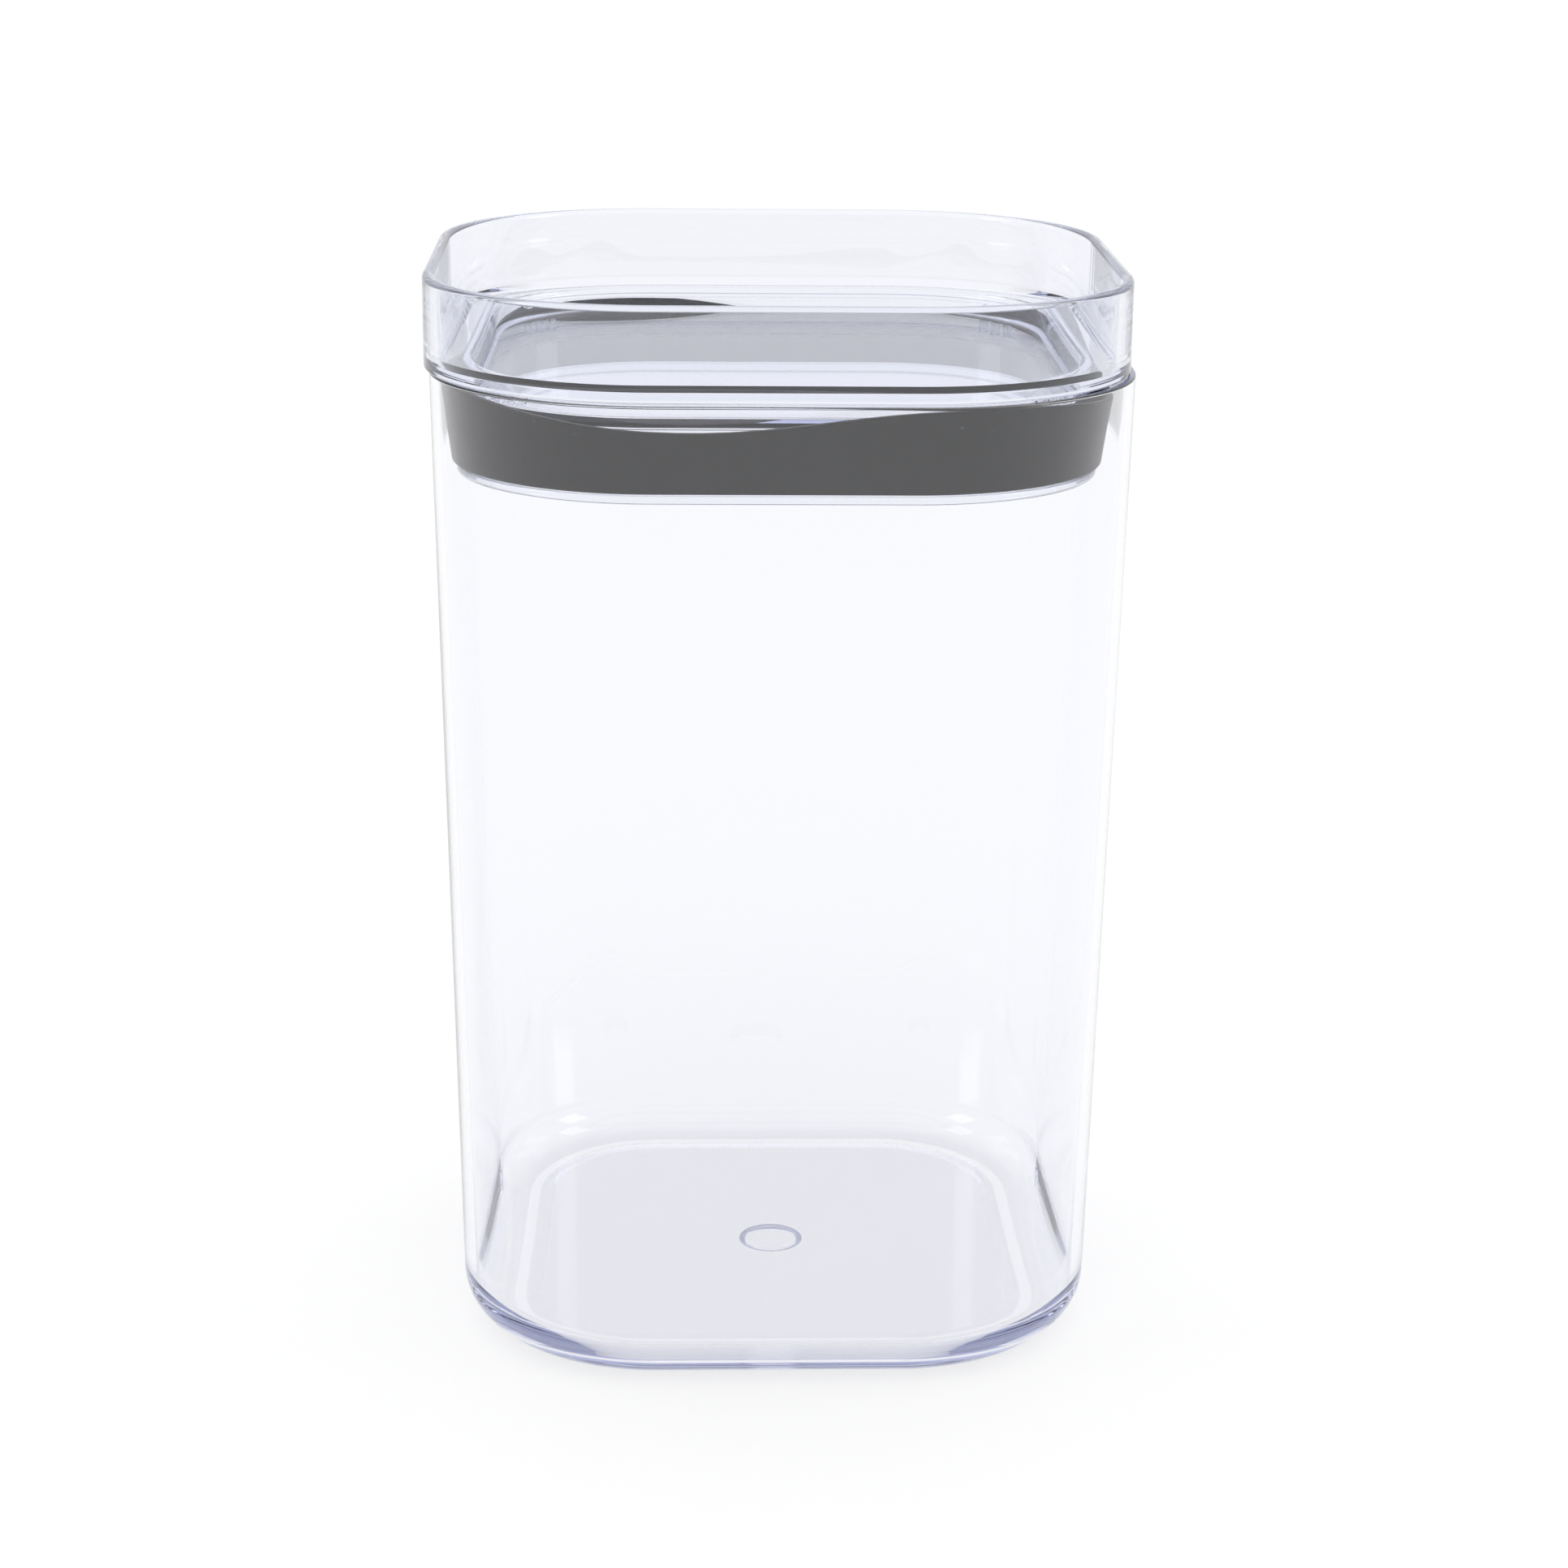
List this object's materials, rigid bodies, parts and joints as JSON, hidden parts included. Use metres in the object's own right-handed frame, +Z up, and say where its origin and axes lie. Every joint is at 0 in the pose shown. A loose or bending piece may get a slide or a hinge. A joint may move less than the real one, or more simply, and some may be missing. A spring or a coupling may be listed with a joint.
{
  "type": "lidded storage canister",
  "caption": "Tall rounded-square clear canister with a lift-off lid: a recessed stacking tray on an open plug with a black silicone seal.",
  "frame": {"origin": "middle of the overall underside, on the surface the canister stands on", "axes": "+Z up towards the lid, X and Y across the flat sides, -Y the side that faces the viewer"},
  "size_m": [0.1108, 0.11, 0.1745],
  "materials": {
    "clear_body": "clear, polished",
    "clear_lid": "clear, polished",
    "black_silicone": "satin"
  },
  "bodies": {
    "canister": {"canister": "clear_body"},
    "lid": {"lid_tray": "clear_lid", "seal_band": "black_silicone"}
  },
  "joints": [
    {"name": "lid_lift", "type": "slide", "parent": "canister", "child": "lid", "axis": [0, 0, 1], "range_m": [0, 0.06]}
  ]
}
